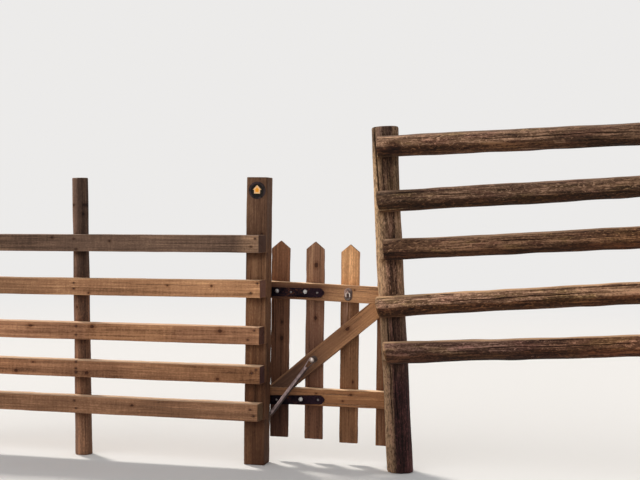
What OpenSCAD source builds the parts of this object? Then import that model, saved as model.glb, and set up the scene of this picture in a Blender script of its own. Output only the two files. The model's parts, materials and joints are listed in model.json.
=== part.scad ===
// Self-closing wicket gate of pointed pickets. It hangs on a sawn gatepost, shuts against
// the back of a leaning round post, and has a run of rail fence on either side.
// X runs along the fence, Y away from the side it is seen from, and Z is up.
// The origin is the middle of the gatepost's foot, at ground level.

/* [Gatepost] */
// Width and depth of the sawn gatepost
gatepost_w = 102; // [94:1:110]
// Height of the gatepost above the ground
gatepost_h = 1393; // [1300:1:1500]
// Diameter of the waymark disc
disc_d = 84; // [70:1:92]

/* [Left fence] */
// Height of a sawn rail
rail_h = 84; // [76:1:92]
// Thickness of a sawn rail from front to back
rail_t = 78; // [60:1:84]
// Spacing of the posts of the left fence
left_bay = 900; // [800:5:1200]
// Diameter of the round posts of the left fence at half their height
pole_d = 80; // [76:1:96]
// Height of the middle post of the left fence
pole_h = 1386; // [1250:1:1450]

/* [Right fence] */
// Diameter of the round slam post
slam_d = 125; // [116:1:140]
// Height of the slam post
slam_h = 1636; // [1500:1:1750]
// Place of the slam post's foot along the fence
slam_x = 710; // [700:1:740]
// How far the slam post's top leans to the left
slam_lean = 94; // [0:1:110]
// Spacing of the posts of the right fence
right_bay = 1740; // [1500:5:2000]

/* [Gate] */
// Height of the two horizontal rails and width of the brace
gate_rail_h = 83; // [70:1:95]
// Thickness of those rails and of the brace
gate_rail_t = 48; // [36:1:55]
// Width of a picket
picket_w = 91; // [80:1:96]
// Thickness of a picket
picket_t = 20; // [16:1:25]
// Length of a picket with its point
picket_l = 972; // [900:1:1000]
// Height of a picket's point
picket_point = 38; // [25:1:45]

/* [Ironwork] */
// Height of a strap hinge
strap_h = 44; // [36:1:50]
// Thickness of a strap hinge
strap_t = 6; // [4:0.5:8]
// Length of the upper strap from the pin to its tip
upper_strap_l = 292; // [250:1:310]
// Length of the lower strap from the pin to its tip
lower_strap_l = 300; // [250:1:310]
// Diameter of a hinge pin
pin_d = 16; // [12:0.5:18]
// Diameter of the closer's coil
coil_d = 22; // [16:0.5:24]

/* [Hidden] */
$fn = 96;

// Colours
sawn_brown = [0.42, 0.30, 0.22];
rail_brown = [0.56, 0.41, 0.31];
log_brown = [0.38, 0.31, 0.27];
strap_black = [0.10, 0.10, 0.12];
disc_black = [0.08, 0.08, 0.08];
galvanised = [0.62, 0.62, 0.62];

// Easing of sawn edges
edge = 3;

// Planes across the fence, from front to back
post_front = -gatepost_w / 2;
post_back = gatepost_w / 2;
rail_front = post_front - rail_t;

// Waymark disc: thickness, bevel, and its middle from the post's axis and top
disc_t = 3;
disc_bevel = 1;
disc_x = 3;
disc_drop = 64;

// Left rails, from the top one down: height of the middle at the gatepost, and rise per metre
left_rail_z = [1072, 856, 632, 444, 264];
left_rail_rise = [11, 11, 6, 4, 2];
// Hand-sawn right ends: where the front stops, and how much further the back reaches
left_rail_end = [35, 44, 43, 48, 39];
left_rail_skew = [15, 7, 5, 2, 4];

// Round posts of the left fence: places, top and foot, and flats where rails are nailed
left_mid_x = -left_bay;
left_end_x = -2 * left_bay;
left_end_h = pole_h - 22;
left_mid_lean = 34;
left_end_lean = -12;
pole_foot_d = pole_d + 6;
pole_top_d = pole_d - 5;
pole_rim = 3;
pole_flat = 8;
pole_y = post_front - pole_flat + pole_d / 2;
rail_play = 2;

// Round posts of the right fence
slam_top_d = slam_d + 1;
right_end_x = slam_x + right_bay;
right_end_h = slam_h + 94;
right_end_lean = -30;
right_end_foot_d = slam_d + 4;
right_end_top_d = slam_d - 4;
log_post_rim = 9;
// Drying split of the slam post: width, length, depth, and turn from the post's front
split_w = 8;
split_l = 760;
split_depth = 34;
split_turn = -41;

// Log rails, from the top one down: left end, height there, rise per metre, and radii
log_left = [601, 600, 636, 599, 636];
log_z = [1536, 1278, 1054, 786, 572];
log_rise = [47, 67, 66, 81, 65];
log_r_left = [50, 50, 49, 50, 52];
log_r_right = [51, 49, 50, 54, 51];
// Slant of each log's left end, in degrees
log_slant = [1, 10, 4, 13, 16];
// Flat seats of the logs: their plane, half their width, how deep a log is cut, and play above and below
log_seat = -54;
notch_half = 58;
log_notch = 10;
seat_play = 5;
log_right = right_end_x + 68;

// Hinge pin's axis, behind the gatepost
pin_x = 20;
pin_y = post_back + 22;
pin_gap = 0.4;
eye_r = pin_d / 2 + 6;
collar_r = pin_d / 2 + 4;
collar_h = 7;
collar_gap = 0.5;
pin_rise = 6;
pin_bevel = 3;
shank_r = pin_d / 2 + 1;
shank_drop = 32;
hook_plate_w = 42;
hook_plate_h = 96;
hook_plate_t = 5;

// Gate leaf: faces, ends and rails
leaf_front = pin_y + strap_t / 2;
leaf_back = leaf_front + gate_rail_t;
leaf_left = pin_x + eye_r + 1;
// Pickets, from the hinge side: middles and tops
picket_x = [75.5, 251, 428, 609];
picket_top = [1085, 1083, 1072, 1067];
leaf_right = picket_x[3] + picket_w / 2;
// Height of the rails' middles at the hinge side, and how far the upper one sags per metre
top_rail_z = 845;
top_rail_sag = 30;
bottom_rail_z = 323.5;
top_rail_angle = atan(top_rail_sag / 1000);
// Brace: slope, and where its middle line starts at the hinge side
brace_angle = 40;
brace_x = 98;
brace_z = 366;

// Straps: height of the pin, and tilt of the strap
upper_strap_z = 835;
lower_strap_z = 301;
lower_strap_tilt = 2.5;
strap_tip = 18;
strap_nose = 4;
strap_nose_half = strap_h / 5;

// Closer: anchors on the gatepost's side and on the brace, in front of the leaf
closer_y = 34;
closer_low = [58, 235];
closer_high = [259.5, 505];
closer_span = norm(closer_high - closer_low);
closer_angle = atan2(closer_high[1] - closer_low[1], closer_high[0] - closer_low[0]);
closer_wire = 6;
hook_wire = closer_wire - 0.5;
hook_loop_r = 7;
eye_loop_r = 14;
coil_start = 2 * hook_loop_r + 1;
coil_end = closer_span - 42;
coil_pitch = 4;
coil_groove = 1.3;
coil_turns = floor((coil_end - coil_start) / coil_pitch);
// Necks that close the coil at its ends
neck_d = closer_wire + 2;
neck_h = 4;

// Bracket on the gatepost: base plate, and a lug with a hole for the hook
base_w = 22;
base_h = 50;
base_t = 3;
base_drop = 38;
lug_t = 4;
lug_r = 9.5;
lug_drop = 28;
lug_hole_r = 3.5;

// Foot on the brace, with a stud inside the eye and a dome over it
foot_r = 17;
foot_t = 4;
stud_r = 4.5;
stud_gap = 0.2;
dome_r = 12.5;
dome_sink = 4;
dome_gap = 1.5;

// Pull: plate on the top rail, and a drop ring hanging from its knuckle
pull_x = 431;
pull_z = 831;
plate_w = 40;
plate_h = 64;
plate_t = 4;
ring_wire = 5;
ring_bend_r = 9;
ring_straight = 17;
ring_pivot_y = leaf_front - plate_t - 8;
ring_pivot_z = pull_z + 9;
knuckle_w = 7;
knuckle_wall = 3;
knuckle_bore_r = ring_wire / 2 + 1.5;

// Height of a left rail's middle at x
function left_rail_mid(i, x) = left_rail_z[i] + x * left_rail_rise[i] / 1000;

// Height of a log rail's middle at x
function log_mid(i, x) = log_z[i] + (x - log_left[i]) * log_rise[i] / 1000;

// Place along the fence of a leaning post at height z
function leaning_x(foot_x, lean, height, z) = foot_x - lean * z / height;

// Rectangle from the origin with its corners eased
module eased_rect(w, h) {
    polygon([
        [edge, 0], [w - edge, 0], [w, edge], [w, h - edge],
        [w - edge, h], [edge, h], [0, h - edge], [0, edge]
    ]);
}

// Sawn bar along +X, with its front lower edge on the X axis
module bar(length, thickness, height) {
    rotate([90, 0, 90]) linear_extrude(length) eased_rect(thickness, height);
}

// Plate cut from an outline in X and Z, with its front face at y = 0
module upright_plate(thickness) {
    translate([0, thickness, 0]) rotate([90, 0, 0]) linear_extrude(thickness) children();
}

// Rod along Y from y0 to y1
module rod_y(r, y0, y1) {
    translate([0, y0, 0]) rotate([-90, 0, 0]) cylinder(r = r, h = y1 - y0);
}

// Half ring in X and Z above the X axis, of round wire
module half_ring(bend_r, wire) {
    rotate([90, 0, 0]) rotate_extrude(angle = 180) translate([bend_r, 0]) circle(d = wire);
}

// Round post that leans along X, with a flat foot at the ground and a worn rim at its top
module leaning_post(d_foot, d_top, height, lean, rim) {
    below = 100;
    angle = atan(lean / height);
    length = height / cos(angle);
    difference() {
        rotate([0, -angle, 0]) union() {
            translate([0, 0, -below]) cylinder(d1 = d_foot, d2 = d_top, h = length + below - rim);
            translate([0, 0, length - rim]) cylinder(d1 = d_top, d2 = d_top - 2 * rim, h = rim);
        }
        translate([-d_foot, -d_foot, -2 * below]) cube([2 * d_foot, 2 * d_foot, 2 * below]);
    }
}

module gatepost() {
    color(sawn_brown)
    translate([-gatepost_w / 2, -gatepost_w / 2, 0])
        linear_extrude(gatepost_h) eased_rect(gatepost_w, gatepost_w);
}

// Disc with a bevelled rim, near the gatepost's top
module waymark_disc() {
    color(disc_black)
    translate([disc_x, post_front, gatepost_h - disc_drop]) rotate([90, 0, 0]) union() {
        cylinder(d = disc_d, h = disc_t - disc_bevel);
        translate([0, 0, disc_t - disc_bevel])
            cylinder(d1 = disc_d, d2 = disc_d - 2 * disc_bevel, h = disc_bevel);
    }
}

// Sawn rail of the left fence, its right end cut a little askew
module left_rail(i) {
    front_x = left_rail_end[i];
    back_x = front_x + left_rail_skew[i];
    length = back_x - left_end_x + pole_d / 2;
    past = 10;
    askew = past * left_rail_skew[i] / rail_t;
    color(rail_brown)
    difference() {
        translate([back_x, rail_front, left_rail_mid(i, back_x)])
            rotate([0, -atan(left_rail_rise[i] / 1000), 0])
            translate([-length, 0, -rail_h / 2]) bar(length, rail_t, rail_h);
        translate([0, 0, left_rail_z[i] - rail_h]) linear_extrude(2 * rail_h)
            polygon([
                [front_x - askew, rail_front - past], [back_x + rail_t, rail_front - past],
                [back_x + rail_t, post_front + past], [back_x + askew, post_front + past]
            ]);
    }
}

// Round post of the left fence, with a flat for each rail
module left_post(x, height, lean) {
    color(log_brown)
    difference() {
        translate([x, pole_y, 0]) leaning_post(pole_foot_d, pole_top_d, height, lean, pole_rim);
        for (i = [0:4])
            translate([x - pole_d, post_front - pole_d, left_rail_mid(i, x) - rail_h / 2 - rail_play])
                cube([2 * pole_d, pole_d, rail_h + 2 * rail_play]);
    }
}

// Round post of the right fence, with a flat for each log rail
module right_post(x, height, lean, d_foot, d_top) {
    difference() {
        translate([x, 0, 0]) leaning_post(d_foot, d_top, height, lean, log_post_rim);
        for (i = [0:4]) {
            seat_h = 2 * (log_r_right[i] + seat_play);
            here = leaning_x(x, lean, height, log_z[i]);
            translate([here - d_foot, log_seat - d_foot, log_mid(i, here) - seat_h / 2])
                cube([2 * d_foot, d_foot, seat_h]);
        }
    }
}

// Slam post, with the deep drying split that runs down from its top
module slam_post() {
    past = 20;
    color(log_brown)
    difference() {
        right_post(slam_x, slam_h, slam_lean, slam_d, slam_top_d);
        translate([slam_x, 0, 0]) rotate([0, -atan(slam_lean / slam_h), 0]) rotate([0, 0, split_turn])
            translate([0, -slam_top_d / 2, slam_h - split_l]) linear_extrude(split_l + past)
                polygon([[-split_w / 2, -split_w], [split_w / 2, -split_w], [0, split_depth]]);
    }
}

module right_end_post() {
    color(log_brown)
    right_post(right_end_x, right_end_h, right_end_lean, right_end_foot_d, right_end_top_d);
}

// Log rail along the front of the right posts, notched to a flat seat over each
module log_rail(i) {
    angle = atan(log_rise[i] / 1000);
    length = (log_right - log_left[i]) / cos(angle);
    axis_y = log_seat - log_r_left[i] + log_notch;
    over_slam = leaning_x(slam_x, slam_lean, slam_h, log_z[i]);
    over_end = leaning_x(right_end_x, right_end_lean, right_end_h, log_z[i]);
    reach = 120;
    color(log_brown)
    difference() {
        translate([log_left[i], axis_y, log_z[i]]) rotate([0, 90 - angle, 0])
            cylinder(r1 = log_r_left[i], r2 = log_r_right[i], h = length);
        for (x = [over_slam, over_end])
            translate([x - notch_half, log_seat, log_mid(i, x) - reach])
                cube([2 * notch_half, reach, 2 * reach]);
        translate([log_left[i], axis_y, log_z[i]]) rotate([0, -log_slant[i], 0])
            translate([log_r_left[i] * abs(sin(log_slant[i])) - reach, -reach, -reach])
                cube([reach, 2 * reach, 2 * reach]);
    }
}

// Hook for a strap's eye: a plate on the gatepost's back, a shank, a collar and the pin
module hinge_hook(z) {
    eye_bottom = z - strap_h / 2;
    pin_top = z + strap_h / 2 + pin_rise;
    color(strap_black) union() {
        translate([pin_x - hook_plate_w / 2, post_back, eye_bottom - 2 * shank_drop])
            cube([hook_plate_w, hook_plate_t, hook_plate_h]);
        translate([pin_x, 0, eye_bottom - shank_drop / 2]) rod_y(shank_r, post_back + hook_plate_t - 1, pin_y);
        translate([pin_x, pin_y, eye_bottom - shank_drop / 2]) {
            sphere(r = shank_r);
            cylinder(r = shank_r, h = shank_drop / 2 - collar_h);
        }
        translate([pin_x, pin_y, eye_bottom - collar_h - collar_gap]) cylinder(r = collar_r, h = collar_h);
        translate([pin_x, pin_y, eye_bottom - 1]) cylinder(d = pin_d, h = pin_top - pin_bevel - eye_bottom + 1);
        translate([pin_x, pin_y, pin_top - pin_bevel])
            cylinder(d1 = pin_d, d2 = pin_d - 2 * pin_bevel, h = pin_bevel);
    }
}

// Strap hinge: a flat with a pointed tip, rolled into an eye round the pin
module strap_hinge(z, length, tilt) {
    half = strap_h / 2;
    color(strap_black)
    translate([pin_x, pin_y, z]) difference() {
        union() {
            translate([0, 0, -half]) cylinder(r = eye_r, h = strap_h);
            translate([0, -strap_t / 2, 0]) rotate([0, -tilt, 0]) upright_plate(strap_t)
                polygon([
                    [0, -half], [length - strap_tip, -half], [length - strap_nose, -strap_nose_half],
                    [length, 0], [length - strap_nose, strap_nose_half], [length - strap_tip, half], [0, half]
                ]);
        }
        translate([0, 0, -strap_h]) cylinder(r = pin_d / 2 + pin_gap, h = 2 * strap_h);
    }
}

module picket(i) {
    half = picket_w / 2;
    shoulder = picket_l - picket_point;
    color(sawn_brown)
    translate([picket_x[i], leaf_back, picket_top[i] - picket_l]) upright_plate(picket_t)
        polygon([[-half, 0], [half, 0], [half, shoulder], [0, picket_l], [-half, shoulder]]);
}

module gate_top_rail() {
    color(rail_brown)
    translate([leaf_left, leaf_front, top_rail_z]) rotate([0, top_rail_angle, 0])
        translate([0, 0, -gate_rail_h / 2])
            bar((leaf_right - leaf_left) / cos(top_rail_angle), gate_rail_t, gate_rail_h);
}

module gate_bottom_rail() {
    color(rail_brown)
    translate([leaf_left, leaf_front, bottom_rail_z - gate_rail_h / 2])
        bar(leaf_right - leaf_left, gate_rail_t, gate_rail_h);
}

// Brace from the foot of the hinge side up to the latch side, cut to butt against both rails
module gate_brace() {
    low = bottom_rail_z + gate_rail_h / 2;
    high = top_rail_z - gate_rail_h / 2 / cos(top_rail_angle);
    drop = (leaf_right - leaf_left) * tan(top_rail_angle);
    before = 200;
    length = 2 * (leaf_right - leaf_left);
    past = 10;
    color(rail_brown)
    intersection() {
        translate([brace_x, leaf_front, brace_z]) rotate([0, -brace_angle, 0])
            translate([-before, 0, -gate_rail_h / 2]) bar(length, gate_rail_t, gate_rail_h);
        translate([0, leaf_front - past, 0]) upright_plate(gate_rail_t + 2 * past)
            polygon([[leaf_left, low], [leaf_right, low], [leaf_right, high - drop], [leaf_left, high]]);
    }
}

// Plate on the gatepost's right side with a drilled lug for the closer's hook
module closer_post_bracket() {
    side = gatepost_w / 2;
    color(galvanised)
    difference() {
        union() {
            translate([side, closer_y - base_w / 2, closer_low[1] - base_drop]) cube([base_t, base_w, base_h]);
            translate([closer_low[0], 0, closer_low[1]]) rod_y(lug_r, closer_y - lug_t / 2, closer_y + lug_t / 2);
            translate([side, closer_y - lug_t / 2, closer_low[1] - lug_drop])
                cube([closer_low[0] - side, lug_t, lug_drop + lug_r]);
        }
        translate([closer_low[0], 0, closer_low[1]]) rod_y(lug_hole_r, closer_y - lug_t, closer_y + lug_t);
        translate([0, closer_y - base_w, closer_low[1] - 2 * base_h]) cube([side, 2 * base_w, 4 * base_h]);
    }
}

// Round foot on the brace with a domed stud that holds the closer's eye
module closer_gate_bracket() {
    slack = eye_loop_r - closer_wire / 2 - stud_r - stud_gap;
    stud_x = closer_high[0] + slack * cos(closer_angle);
    stud_z = closer_high[1] + slack * sin(closer_angle);
    neck = closer_y - closer_wire / 2 - dome_gap;
    color(galvanised)
    translate([stud_x, 0, stud_z]) union() {
        rod_y(foot_r, leaf_front - foot_t, leaf_front);
        rod_y(stud_r, neck - 1, leaf_front - foot_t + 1);
        difference() {
            translate([0, neck + dome_sink, 0]) sphere(r = dome_r);
            rod_y(2 * dome_r, neck, neck + 2 * dome_r);
        }
    }
}

// Outline of a close coil, turned round the closer's axis
module coil_outline() {
    outer = coil_d / 2;
    length = coil_turns * coil_pitch;
    ridges = [for (i = [0:coil_turns - 1]) each [
        [outer - coil_groove, i * coil_pitch],
        [outer, (i + 0.3) * coil_pitch],
        [outer, (i + 0.7) * coil_pitch]
    ]];
    polygon(concat([[0, 0]], ridges, [[outer - coil_groove, length], [0, length]]));
}

// Closer: close-coiled spring with a hook at the gatepost and an eye at the brace
module closer_spring() {
    color(galvanised)
    translate([closer_low[0], closer_y, closer_low[1]]) rotate([0, 90 - closer_angle, 0]) union() {
        // Hook that lies across the lug
        translate([0, 0, hook_loop_r]) rotate([0, 90, 0])
            rotate_extrude() translate([hook_loop_r, 0]) circle(d = hook_wire);
        translate([0, 0, coil_start]) rotate_extrude() coil_outline();
        translate([0, 0, coil_end - neck_h])
            cylinder(d = neck_d, h = closer_span - eye_loop_r - coil_end + neck_h);
        translate([0, 0, closer_span]) rotate([90, 0, 0])
            rotate_extrude() translate([eye_loop_r, 0]) circle(d = closer_wire);
    }
}

// Long round-ended plate on the top rail, with the knuckle that the ring hangs from
module pull_plate() {
    ring_y = ring_pivot_y;
    end_r = plate_w / 2;
    end_z = plate_h / 2 - end_r;
    color(galvanised)
    translate([pull_x, 0, 0]) difference() {
        union() {
            translate([0, leaf_front - plate_t, pull_z]) {
                for (side = [-1, 1]) translate([0, 0, side * end_z]) rod_y(end_r, 0, plate_t);
                translate([-end_r, 0, -end_z]) cube([plate_w, plate_t, 2 * end_z]);
            }
            translate([-knuckle_w / 2, ring_y, ring_pivot_z]) rotate([0, 90, 0])
                cylinder(r = knuckle_bore_r + knuckle_wall, h = knuckle_w);
            translate([-knuckle_w / 2, ring_y, ring_pivot_z - knuckle_w / 2])
                cube([knuckle_w, leaf_front - plate_t - ring_y, knuckle_w]);
        }
        translate([-knuckle_w, ring_y, ring_pivot_z]) rotate([0, 90, 0])
            cylinder(r = knuckle_bore_r, h = 2 * knuckle_w);
    }
}

// Drop ring of round wire, longer than it is wide, hanging from the knuckle
module pull_ring() {
    color(galvanised)
    translate([pull_x, ring_pivot_y, ring_pivot_z - ring_bend_r]) union() {
        half_ring(ring_bend_r, ring_wire);
        for (side = [-1, 1]) translate([side * ring_bend_r, 0, -ring_straight])
            cylinder(d = ring_wire, h = ring_straight);
        translate([0, 0, -ring_straight]) rotate([0, 180, 0]) half_ring(ring_bend_r, ring_wire);
    }
}

gatepost();
waymark_disc();
hinge_hook(upper_strap_z);  // hinge_hook_upper
hinge_hook(lower_strap_z);  // hinge_hook_lower
closer_post_bracket();
left_rail(0);  // left_rail_1
left_rail(1);  // left_rail_2
left_rail(2);  // left_rail_3
left_rail(3);  // left_rail_4
left_rail(4);  // left_rail_5
left_post(left_mid_x, pole_h, left_mid_lean);  // left_mid_post
left_post(left_end_x, left_end_h, left_end_lean);  // left_end_post
slam_post();
log_rail(0);  // log_rail_1
log_rail(1);  // log_rail_2
log_rail(2);  // log_rail_3
log_rail(3);  // log_rail_4
log_rail(4);  // log_rail_5
right_end_post();
picket(0);  // picket_1
picket(1);  // picket_2
picket(2);  // picket_3
picket(3);  // picket_4
gate_top_rail();
gate_bottom_rail();
gate_brace();
strap_hinge(upper_strap_z, upper_strap_l, 0);  // strap_hinge_upper
strap_hinge(lower_strap_z, lower_strap_l, lower_strap_tilt);  // strap_hinge_lower
closer_gate_bracket();
closer_spring();
pull_plate();
pull_ring();
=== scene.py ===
"""Looks of a self-closing picket gate and its fence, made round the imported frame. Lengths are in metres."""
import json
from collections import namedtuple
from itertools import product
from math import cos, pi, radians, sin, tan

import bpy
import numpy as np
from mathutils import Matrix, Vector


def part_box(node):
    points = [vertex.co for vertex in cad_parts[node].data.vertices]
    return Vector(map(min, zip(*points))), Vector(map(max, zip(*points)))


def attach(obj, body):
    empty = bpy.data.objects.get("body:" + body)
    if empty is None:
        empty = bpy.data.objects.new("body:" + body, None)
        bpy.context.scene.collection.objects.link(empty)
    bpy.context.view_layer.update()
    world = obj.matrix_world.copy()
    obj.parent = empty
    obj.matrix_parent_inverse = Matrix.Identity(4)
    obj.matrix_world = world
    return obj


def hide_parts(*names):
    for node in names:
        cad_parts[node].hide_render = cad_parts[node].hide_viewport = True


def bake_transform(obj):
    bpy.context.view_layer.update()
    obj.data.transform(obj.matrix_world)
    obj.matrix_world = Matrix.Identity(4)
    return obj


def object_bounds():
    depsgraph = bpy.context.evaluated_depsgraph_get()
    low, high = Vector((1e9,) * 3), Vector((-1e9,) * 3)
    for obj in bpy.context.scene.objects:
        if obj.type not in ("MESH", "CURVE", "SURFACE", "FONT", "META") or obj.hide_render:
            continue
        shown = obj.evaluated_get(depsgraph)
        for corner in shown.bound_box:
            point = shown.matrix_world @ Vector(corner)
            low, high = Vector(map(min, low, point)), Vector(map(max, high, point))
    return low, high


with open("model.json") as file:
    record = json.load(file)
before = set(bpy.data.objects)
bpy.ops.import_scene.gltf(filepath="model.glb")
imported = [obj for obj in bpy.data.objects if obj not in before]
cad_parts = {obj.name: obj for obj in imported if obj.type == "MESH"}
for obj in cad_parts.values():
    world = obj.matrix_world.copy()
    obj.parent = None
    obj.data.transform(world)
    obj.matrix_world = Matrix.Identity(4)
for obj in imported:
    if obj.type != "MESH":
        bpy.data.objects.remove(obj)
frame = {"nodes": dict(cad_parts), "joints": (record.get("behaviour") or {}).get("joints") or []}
CAD_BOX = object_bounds()
scene = bpy.context.scene
# How far every new piece stays inside the solids' box
MARGIN = 0.0001
INSIDE = [np.array(CAD_BOX[0]) + MARGIN, np.array(CAD_BOX[1]) - MARGIN]
FRONT, BACK, RIGHT, UP = (0, -1, 0), (0, 1, 0), (1, 0, 0), (0, 0, 1)

# Camera, worked out for a picture of 640 by 480
CAMERA_PLACE = Vector((1.802, -6.067, 1.205))
CAMERA_YAW, CAMERA_PITCH, CAMERA_ROLL = -13.86, -1.02, 0.69
CAMERA_LENS, SENSOR_WIDTH = 73.1, 36

# Real sizes that the boxes of the frame don't give
RAIL_HEIGHT = 0.084
GATE_RAIL_HEIGHT = 0.083
BRACE_SLOPE = radians(40)
PICKET_POINT = 0.038
POLE_RIM, LOG_RIM, LOG_POST_RIM = 0.004, 0.007, 0.009
LOG_SEAT_Y = -0.054
LOG_SEAT_HALF = 0.058
SPRING_LOW = Vector((0.058, 0.034, 0.235))
SPRING_HIGH = Vector((0.2595, 0.034, 0.505))


def colour(red, green, blue):
    """Linear colour of an sRGB one whose channels run from 0 to 255."""
    channels = [c / 255 for c in (red, green, blue)]
    linear = [c / 12.92 if c <= 0.04045 else ((c + 0.055) / 1.055) ** 2.4 for c in channels]
    return (*linear, 1.0)


class Nodes:
    """Nodes of a material or of the world. Each short call adds a node and returns its output socket."""

    def __init__(self, owner):
        owner.use_nodes = True
        self.tree = owner.node_tree

    def node(self, kind, inputs, output=0, **settings):
        made = self.tree.nodes.new("ShaderNode" + kind)
        for name, value in settings.items():
            setattr(made, name, value)
        for place, value in inputs.items():
            self.feed(made.inputs[place], value)
        return made.outputs[output]

    def feed(self, socket, value):
        if isinstance(value, bpy.types.NodeSocket):
            self.tree.links.new(value, socket)
        else:
            socket.default_value = value

    def place(self):
        return self.node("TexCoord", {}, "Object")

    def attribute(self, name, output="Fac"):
        return self.node("Attribute", {}, output, attribute_name=name)

    def axis(self, vector, name):
        return self.node("SeparateXYZ", {0: vector}, name)

    def stretch(self, vector, scale, shift=(0, 0, 0)):
        return self.node("VectorMath", {0: vector, 1: scale, 2: shift}, operation="MULTIPLY_ADD")

    def measure(self, operation, *vectors):
        return self.node("VectorMath", dict(enumerate(vectors)), "Value", operation=operation)

    def noise(self, vector, detail=3.0, roughness=0.55, distortion=0.0, scale=1.0):
        inputs = {"Vector": vector, "Scale": scale, "Detail": detail}
        inputs.update({"Roughness": roughness, "Distortion": distortion})
        return self.node("TexNoise", inputs)

    def math(self, operation, *values):
        return self.node("Math", dict(enumerate(values)), operation=operation)

    def times(self, first, second):
        return self.math("MULTIPLY", first, second)

    def span(self, value, low, high, to_low=0.0, to_high=1.0):
        """Value from low to high, as a smooth step between two levels."""
        inputs = dict(enumerate((value, low, high, to_low, to_high)))
        return self.node("MapRange", inputs, interpolation_type="SMOOTHSTEP")

    def weigh(self, layers, amount=1.0):
        """Sum of noises round 0.5, each by its weight times the amount."""
        total = 0.5
        for layer, weight in layers:
            weight *= amount
            total = self.math("ADD", total, self.math("MULTIPLY_ADD", layer, weight, -0.5 * weight))
        return total


class Shader(Nodes):
    """Material whose base colour is built up in coats, each laid on by a factor or by a span of it."""

    def __init__(self, name, base, roughness=0.8, specular=0.3, metallic=0.0):
        self.material = bpy.data.materials.new(name)
        super().__init__(self.material)
        self.base = colour(*base)
        self.surface = self.tree.nodes["Principled BSDF"]
        self.surface.inputs["Roughness"].default_value = roughness
        self.surface.inputs["Specular IOR Level"].default_value = specular
        self.surface.inputs["Metallic"].default_value = metallic

    def coat(self, how, tone, factor, *span):
        if span:
            factor = self.span(factor, *span)
        inputs = {0: factor, 6: self.base, 7: tone}
        self.base = self.node("Mix", inputs, 2, data_type="RGBA", blend_type=how)

    def cover(self, tone, *factor):
        self.coat("MIX", colour(*tone), *factor)

    def darken(self, levels, *factor):
        self.coat("MULTIPLY", (*levels, 1), *factor)

    def finish(self, roughness=None, *bump):
        """Feeds the surface, and returns the material. Bump is a height, its strength and its distance."""
        self.feed(self.surface.inputs["Base Color"], self.base)
        if roughness is not None:
            self.feed(self.surface.inputs["Roughness"], roughness)
        if bump:
            relief = self.node("Bump", dict(zip(("Height", "Strength", "Distance"), bump)))
            self.feed(self.surface.inputs["Normal"], relief)
        return self.material


# Pith of a timber's end grain off its middle, and the growth rings' width
PITH = (0.009, 0.006)
RING_GAP = 0.005


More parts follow.
